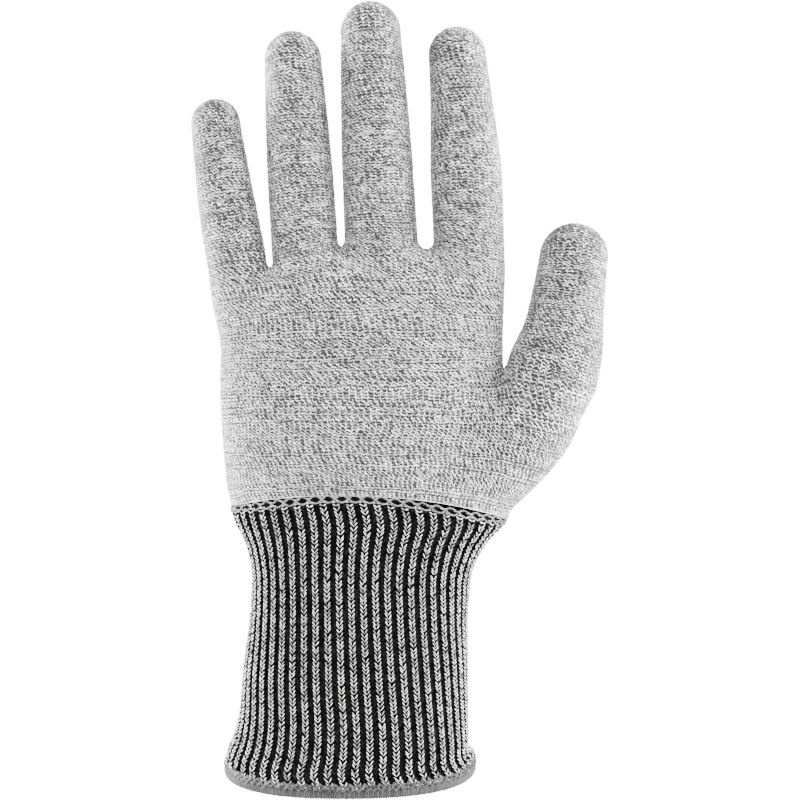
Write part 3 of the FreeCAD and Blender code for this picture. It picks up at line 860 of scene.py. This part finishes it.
def make_link_threads():
    """A two-ply thread that goes round twice. Its strands cross over each rib and part over each valley."""
    ribs = np.arange(2 * RIBS * LINK_STEPS) / LINK_STEPS
    share = ribs / RIBS % 1.0
    part = np.cos(math.pi * ribs)
    height = band_foot(share) + 0.6 * band_height(share) + LENS * part
    lift = 0.3 - 0.4 * part + 0.1 * np.sin(math.pi * ribs)
    core = wall.at(share, height, lift)
    out = wall.at(share, height, lift + 1.0) - core
    way = np.roll(core, -1, 0) - np.roll(core, 1, 0)
    way /= np.linalg.norm(way, axis=1, keepdims=True)
    up = np.cross(out, way)
    length = np.cumsum(np.linalg.norm(core - np.roll(core, 1, 0), axis=1))
    turns = round(length[-1] / PLY_TWIST)
    turn = 2 * math.pi * turns * length / length[-1]
    sheets = Sheets()
    for start in (0.0, math.pi):
        around = np.cos(turn + start)[:, None] * out + np.sin(turn + start)[:, None] * up
        thread(sheets, core + 0.8 * PLY_RADIUS * around, PLY_RADIUS, sides=5, closed_path=True)
    return sheets.build("linking_threads")


# --- the hem -----------------------------------------------------------------
HEM_WRAPS = 330
ROLL_HALF_HEIGHT = 1.6
ROLL_HALF_THICKNESS = 1.2
WRAP_RELIEF = 0.2  # mm from the gaps between the wraps to their tops
WRAP_LEAN = 0.0012  # share of the way round that a wrap leans by over half the roll
BRAID_STITCHES = 104
BRAID_LOW, BRAID_HIGH = 2.7, 4.8
BRAID_TONE = 2.0  # the relief attribute's value in the braid, which tells its material apart from the roll's


def make_hem():
    """Overlock thread wrapped round the cuff's edge, one ridge to a wrap, and the braid above the roll."""
    columns, around = HEM_WRAPS * 4, 20
    turn = 2 * math.pi * np.arange(around) / around
    share = (np.arange(columns) / columns)[:, None] + WRAP_LEAN * np.sin(turn)[None, :]
    profile = np.array([0.0, 0.8, 1.0, 0.8])[np.arange(columns) % 4]
    fullness = rng.uniform(0.75, 1.25, HEM_WRAPS)[np.arange(columns) // 4]
    ridge = np.broadcast_to((profile * fullness)[:, None], (columns, around))
    bulge = WRAP_RELIEF * (ridge - 1)
    height = ROLL_HALF_HEIGHT + 0.06 + (ROLL_HALF_HEIGHT + bulge) * np.sin(turn)[None, :]
    lift = -0.3 + (ROLL_HALF_THICKNESS + bulge) * np.cos(turn)[None, :]
    grid = wall.at(share, height, lift)
    grid = np.concatenate([grid, grid[:1]])
    ridge = np.concatenate([ridge, ridge[:1]])
    sheets = Sheets()
    sheets.add(grid[:, ::-1], np.arange(around) / around, np.arange(columns + 1) / 4.0, ridge[:, ::-1])
    s = np.linspace(-1, 1, 8)
    for stitch in range(BRAID_STITCHES):
        for lean in (-1, 1):
            place = (stitch + 0.5 * lean * s * 1.25) / BRAID_STITCHES
            height = BRAID_LOW + (BRAID_HIGH - BRAID_LOW) * (s + 1) / 2
            lift = 0.37 - 0.12 * s + 0.2 * (1 - s * s) * (1 + 0.5 * lean)
            radius = 0.5 - 0.12 * s * s + rng.uniform(-0.05, 0.05)
            thread(sheets, wall.at(place, height, lift), radius, u_start=float(stitch), tone=BRAID_TONE)
    return sheets.build("hem_overlock_thread")


ELASTIC_THREADS = 10


def make_elastic():
    """Elastic threads laid round the inside of the cuff, course by course."""
    low, high = box("cuff_elastic")
    sheets = Sheets()
    share = np.arange(240) / 240
    for height in np.linspace(low[2] + 0.4, high[2] - 0.4, ELASTIC_THREADS):
        path = wall.at(share, height + 0 * share, 0 * share - CUFF_THICKNESS - 0.75)
        thread(sheets, path, 0.3, closed_path=True)
    return sheets.build("cuff_elastic_threads")


cuff = make_cuff()
band = make_band()
link_threads = make_link_threads()
hem = make_hem()
elastic = make_elastic()


# --- materials ---------------------------------------------------------------
class Nodes:
    """A short way to write a material's node tree."""

    def __init__(self, name):
        self.material = bpy.data.materials.new(name)
        self.material.use_nodes = True
        self.tree = self.material.node_tree
        self.shader = self.tree.nodes["Principled BSDF"]

    def link(self, source, target):
        if isinstance(source, (int, float)):
            target.default_value = source
        elif isinstance(source, tuple):
            target.default_value = (*source, 1.0) if len(source) == 3 else source
        else:
            self.tree.links.new(source, target)

    def node(self, kind, **settings):
        made = self.tree.nodes.new(kind)
        for key, value in settings.items():
            setattr(made, key, value)
        return made

    def math(self, operation, a, b=0.0, c=0.0):
        made = self.node("ShaderNodeMath", operation=operation)
        for socket, value in zip(made.inputs, (a, b, c)):
            self.link(value, socket)
        return made.outputs[0]

    def ramp(self, value, low, high):
        """0 below low, 1 above high, and smooth between."""
        made = self.node("ShaderNodeMapRange", interpolation_type="SMOOTHSTEP", clamp=True)
        self.link(value, made.inputs["Value"])
        self.link(low, made.inputs["From Min"])
        self.link(high, made.inputs["From Max"])
        return made.outputs[0]

    def mix(self, share, a, b):
        made = self.node("ShaderNodeMix", data_type="RGBA")
        self.link(share, made.inputs[0])
        self.link(a, made.inputs[6])
        self.link(b, made.inputs[7])
        return made.outputs[2]

    def scale_colour(self, colour, factor):
        made = self.node("ShaderNodeVectorMath", operation="SCALE")
        self.link(colour, made.inputs[0])
        self.link(factor, made.inputs["Scale"])
        return made.outputs[0]

    def pair(self, x, y, z=0.0):
        made = self.node("ShaderNodeCombineXYZ")
        for socket, value in zip(made.inputs, (x, y, z)):
            self.link(value, socket)
        return made.outputs[0]

    def random(self, vector):
        made = self.node("ShaderNodeTexWhiteNoise", noise_dimensions="3D")
        self.link(vector, made.inputs["Vector"])
        return made.outputs["Value"]

    def stitches(self):
        """The stitch coordinates: wales and courses, counted."""
        source = self.node("ShaderNodeUVMap", uv_map="stitches")
        parts = self.node("ShaderNodeSeparateXYZ")
        self.link(source.outputs[0], parts.inputs[0])
        return parts.outputs[0], parts.outputs[1]

    def wander(self, u, v, per_metre, by_u, by_v):
        """The stitch coordinates shifted a little by noise, so that no two stitches sit quite alike."""
        place = self.node("ShaderNodeTexCoord")
        made = self.node("ShaderNodeTexNoise")
        self.link(place.outputs["Object"], made.inputs["Vector"])
        made.inputs["Scale"].default_value = per_metre
        parts = self.node("ShaderNodeSeparateColor")
        self.link(made.outputs["Color"], parts.inputs[0])
        return [
            self.math("MULTIPLY_ADD", self.math("SUBTRACT", part, 0.5), reach, start)
            for part, reach, start in zip(parts.outputs, (by_u, by_v), (u, v))
        ]

    def relief(self):
        return self.node("ShaderNodeAttribute", attribute_name="relief").outputs["Fac"]

    def noise(self, per_metre, detail=2.0):
        place = self.node("ShaderNodeTexCoord")
        made = self.node("ShaderNodeTexNoise")
        self.link(place.outputs["Object"], made.inputs["Vector"])
        made.inputs["Scale"].default_value = per_metre
        made.inputs["Detail"].default_value = detail
        return made.outputs["Fac"]

    def finish(self, colour, roughness, sheen=0.25, bump=None, bump_mm=0.03, shine=0.3):
        self.link(colour, self.shader.inputs["Base Color"])
        self.link(roughness, self.shader.inputs["Roughness"])
        self.shader.inputs["Sheen Weight"].default_value = sheen
        self.shader.inputs["Sheen Roughness"].default_value = 0.5
        self.shader.inputs["Specular IOR Level"].default_value = shine
        if bump is not None:
            made = self.node("ShaderNodeBump")
            made.inputs["Distance"].default_value = bump_mm * MM
            made.inputs["Strength"].default_value = 1.0
            self.link(bump, made.inputs["Height"])
            self.link(made.outputs[0], self.shader.inputs["Normal"])
        return self.material


def heather_material(name, seed, flecks, slope, wide=0.0):
    """Light grey yarn, with a short sloping dash in the gap under each stitch: painted shade in the gap
    between courses, and in some dashes the yarn's black flecks.

    Each dash has its own height and tone, from grey to nearly black. flecks is the share of black ones, slope
    is how far a dash falls along its length, in courses, and wide is added to half its height. Every course's
    dashes start at their own place along it, so that they don't line up.
    """
    n = Nodes(name)
    u, v = n.stitches()
    above_foot = n.math("GREATER_THAN", v, 0.25)
    u, v = n.wander(u, v, 800.0, 0.5, 1.4)
    v = n.math("MULTIPLY_ADD", n.noise(70.0), 3.0, v)
    line = n.math("ROUND", v)
    along = n.math("MULTIPLY_ADD", n.random(n.pair(0.5, line, seed + 5.0)), 7.0, u)
    leg = n.math("FLOOR", along)
    from_middle = n.math("SUBTRACT", n.math("FRACT", along), 0.5)
    away = n.math("ABSOLUTE", n.math("MULTIPLY_ADD", from_middle, slope, n.math("SUBTRACT", v, line)))
    from_middle = n.math("ABSOLUTE", from_middle)
    black = n.ramp(n.random(n.pair(leg, line, seed + 2.0)), 1.0 - flecks, 1.1 - flecks)
    half_gap = n.math("MULTIPLY_ADD", n.random(n.pair(leg, line, seed + 4.0)), 0.2, 0.28 + wide)
    half_gap = n.math("MULTIPLY_ADD", n.ramp(from_middle, 0.33, 0.5), -0.22, half_gap)
    half_gap = n.math("MULTIPLY_ADD", black, 0.04, half_gap)
    gap = n.math("SUBTRACT", 1.0, n.ramp(n.math("SUBTRACT", away, half_gap), -0.12, 0.1))
    gap = n.math("MULTIPLY", gap, above_foot)
    tone = n.random(n.pair(leg, line, seed + 3.0))
    # painted shade: the dashes' dark tones stand for the shade in the gaps between courses, and the black
    # ones are the yarn's flecks
    dark = n.mix(n.ramp(tone, 0.1, 1.0), (0.004, 0.004, 0.005), (0.045, 0.045, 0.046))
    dark = n.mix(black, dark, (0.005, 0.005, 0.006))
    yarn = n.random(n.pair(leg, n.math("FLOOR", v), seed))
    light = n.mix(n.ramp(yarn, 0.0, 0.8), (0.38, 0.38, 0.385), (0.96, 0.96, 0.96))
    colour = n.mix(gap, light, dark)
    broad = n.math("MULTIPLY_ADD", n.noise(90.0), 0.14, 0.93)
    colour = n.scale_colour(colour, broad)
    rough = n.math("MULTIPLY_ADD", n.noise(700.0), 0.2, 0.7)
    return n.finish(colour, rough, 0.3, n.noise(4500.0, 3.0), 0.06)


def rib_material():
    """One column of grey V stitches to a rib, on a black ground with faint threads across the valleys."""
    n = Nodes("rib_knit")
    u, v = n.wander(*n.stitches(), 900.0, 0.05, 0.5)
    rib = n.math("FLOOR", u)
    place = n.math("FRACT", u)
    from_middle = n.math("ABSOLUTE", n.math("SUBTRACT", place, 0.5))
    side = n.math("GREATER_THAN", place, 0.5)
    line = n.math("ROUND", v)
    away = n.math("ABSOLUTE", n.math("SUBTRACT", v, line))
    half_gap = n.math("MULTIPLY_ADD", n.ramp(from_middle, 0.22, 0.3), 0.4, 0.35)
    middle = n.math("SUBTRACT", 1.0, n.ramp(from_middle, 0.03, 0.12))
    half_gap = n.math("MULTIPLY_ADD", middle, 0.14, half_gap)
    gap = n.math("SUBTRACT", 1.0, n.ramp(n.math("SUBTRACT", away, half_gap), -0.1, 0.06))
    yarn = n.random(n.pair(n.math("MULTIPLY_ADD", rib, 2.0, side), n.math("FLOOR", v), 5.0))
    light = n.mix(n.ramp(yarn, 0.0, 0.8), (0.3, 0.3, 0.305), (0.95, 0.95, 0.95))
    shade = n.random(n.pair(rib, 3.0, 8.0))
    light = n.scale_colour(light, n.math("MULTIPLY_ADD", shade, 0.2, 0.8))
    across = n.math("GREATER_THAN", from_middle, 0.3)
    weft = n.math("MULTIPLY", across, n.ramp(away, 0.3, 0.45))
    weft = n.math("MULTIPLY", weft, n.random(n.pair(rib, n.math("FLOOR", v), 9.0)))
    ground = n.mix(weft, (0.0018,) * 3, (0.03,) * 3)
    colour = n.mix(gap, light, ground)
    rough = n.math("MULTIPLY_ADD", n.noise(900.0), 0.2, 0.7)
    return n.finish(colour, rough, 0.0, n.noise(4500.0, 3.0), 0.06, shine=0.01)


def thread_material(name, dark, light, roughness=0.6, per_mm=1.6, sheen=0.2):
    """A plied thread: its colour varies along its length, with a fine twist."""
    n = Nodes(name)
    u, v = n.stitches()
    twist = n.math("SINE", n.math("MULTIPLY", n.math("ADD", n.math("MULTIPLY", v, per_mm), u), 6.283))
    tone = n.math("MULTIPLY_ADD", twist, 0.25, n.noise(500.0))
    return n.finish(n.mix(n.ramp(tone, 0.25, 0.8), dark, light), roughness, sheen, tone, 0.05)


def overlock_material():
    """Mid-grey thread: painted shade in the grooves between the roll's wraps, and mottled in the braid."""
    n = Nodes("overlock_thread")
    u, v = n.stitches()
    relief = n.relief()
    braid = n.math("GREATER_THAN", relief, BRAID_TONE - 0.5)
    wrap = n.random(n.pair(n.math("FLOOR", v), 2.0, 6.0))
    # painted shade: the roll's colour falls towards near black where the wraps' relief is low, in the grooves
    # between wraps
    crest = n.math("MULTIPLY", n.ramp(relief, 0.1, 0.9), n.math("MULTIPLY_ADD", wrap, 0.7, 0.3))
    roll = n.mix(crest, (0.002,) * 3, (0.055,) * 3)
    shade = n.math("MULTIPLY_ADD", n.random(n.pair(n.math("FLOOR", u), 1.0, 3.0)), 0.6, 0.5)
    plait = n.scale_colour(n.mix(n.ramp(n.noise(1100.0), 0.36, 0.62), (0.004,) * 3, (0.085,) * 3), shade)
    colour = n.mix(braid, roll, plait)
    return n.finish(colour, 0.7, 0.15, n.noise(3500.0, 3.0), 0.05)


def paint(material, *things):
    for thing in things:
        thing.data.materials.clear()
        thing.data.materials.append(material)


paint(heather_material("heather_palm", 11.0, 0.52, 0.5, wide=0.02), palm_knit)
for number, name in enumerate(STALLS):
    paint(heather_material(f"heather_{name}", 20.0 + 7 * number, 0.52, 0.3, wide=0.05), *stall_knits[name])
paint(rib_material(), cuff, band)
paint(thread_material("linking_thread", (0.03,) * 3, (0.34,) * 3), link_threads)
paint(overlock_material(), hem)
paint(thread_material("elastic_thread", (0.003,) * 3, (0.01,) * 3, 0.5, sheen=0.0), elastic)
knots = [frame["nodes"][f"{name}_tip_knot"] for name in STALLS]
paint(thread_material("knot_yarn", (0.16,) * 3, (0.3,) * 3), *knots)


def bend_ends(point, way, reach):
    return tuple((point - way * reach) * MM), tuple((point + way * reach) * MM)


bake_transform(cuff)
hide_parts("cuff_sleeve", "cuff_top")
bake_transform(palm_knit)
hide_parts("lower_palm", "upper_palm", "knuckle_band")
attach(band, "palm")
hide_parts("linking_band")
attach(link_threads, "palm")
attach(hem, "cuff")
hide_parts("hem_overlock")
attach(elastic, "cuff")
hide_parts("cuff_elastic")
for name in STALLS:
    stall = stalls[name]
    lower, tip = stall_knits[name]
    reach = {"thumb": 7.0, "little": 9.0}.get(name, 10.0)
    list(bend_ends(stall.at(stall.bends[0]), stall.way, reach))
    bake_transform(lower)
    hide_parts(f"{name}_root", f"{name}_middle")
    reach = 6.0 if name == "little" else 7.0
    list(bend_ends(stall.at(stall.bends[1]), stall.way, reach))
    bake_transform(tip)
    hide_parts(f"{name}_tip")


# --- floor, light and camera -------------------------------------------------
WHITE = 17.0  # the brightness at which the studio's white reads as pure white


def make_floor():
    """A white floor that curves up into a backdrop."""
    profile = [(-2.5, 0.0), (1.2, 0.0), (1.5, 0.04), (1.7, 0.16), (1.78, 0.35), (1.8, 2.8)]
    points = [(x, y, z) for y, z in profile for x in (-3.0, 3.0)]
    mesh = bpy.data.meshes.new("floor")
    mesh.from_pydata(points, [], [(2 * n, 2 * n + 1, 2 * n + 3, 2 * n + 2) for n in range(len(profile) - 1)])
    mesh.polygons.foreach_set("use_smooth", [True] * len(mesh.polygons))
    floor = bpy.data.objects.new("floor", mesh)
    bpy.context.scene.collection.objects.link(floor)
    n = Nodes("floor_white")
    seen = n.node("ShaderNodeLightPath").outputs["Is Camera Ray"]
    n.shader.inputs["Emission Color"].default_value = (1, 1, 1, 1)
    n.link(n.math("MULTIPLY", seen, WHITE), n.shader.inputs["Emission Strength"])
    floor.data.materials.append(n.finish((0.9, 0.9, 0.9), 0.9, 0.0))


def area_light(name, place, target, size, watts):
    data = bpy.data.lights.new(name, "AREA")
    data.shape = "RECTANGLE"
    data.size, data.size_y = size
    data.energy = watts
    lamp = bpy.data.objects.new(name, data)
    lamp.location = place
    lamp.rotation_euler = (Vector(target) - Vector(place)).to_track_quat("-Z", "Y").to_euler()
    bpy.context.scene.collection.objects.link(lamp)


SKY = 1.1


def make_light():
    world = bpy.data.worlds.new("studio")
    bpy.context.scene.world = world
    world.use_nodes = True
    tree = world.node_tree
    background = tree.nodes["Background"]
    background.inputs[0].default_value = (1, 1, 1, 1)
    seen = tree.nodes.new("ShaderNodeLightPath")
    strength = tree.nodes.new("ShaderNodeMath")
    strength.operation = "MULTIPLY_ADD"
    strength.inputs[1].default_value = WHITE - SKY
    strength.inputs[2].default_value = SKY
    tree.links.new(seen.outputs["Is Camera Ray"], strength.inputs[0])
    tree.links.new(strength.outputs[0], background.inputs[1])
    middle = (0.015, 0.0, 0.13)
    area_light("left_light", (-0.75, 0.12, 0.25), middle, (0.5, 1.0), 76.0)
    area_light("right_light", (0.8, -0.08, 0.3), middle, (0.5, 1.0), 66.0)
    area_light("front_light", (0.1, -0.9, 0.75), middle, (0.9, 0.6), 14.0)


CAMERA_DISTANCE = 0.41
VIEW_WIDTH = 0.2677  # metres across the picture, at the glove's own distance
CAMERA_X, CAMERA_Z = 0.01685, 0.1246
CAMERA_TILT, CAMERA_ROLL = -0.0037, 0.0025  # radians


def make_camera():
    data = bpy.data.cameras.new("camera")
    data.sensor_width = 36.0
    data.lens = data.sensor_width * CAMERA_DISTANCE / VIEW_WIDTH
    data.clip_start = 0.01
    camera = bpy.data.objects.new("camera", data)
    camera.location = (CAMERA_X, -CAMERA_DISTANCE, CAMERA_Z)
    camera.rotation_euler = (math.pi / 2 + CAMERA_TILT, CAMERA_ROLL, 0)
    bpy.context.scene.collection.objects.link(camera)
    bpy.context.scene.camera = camera


make_floor()
make_light()
make_camera()
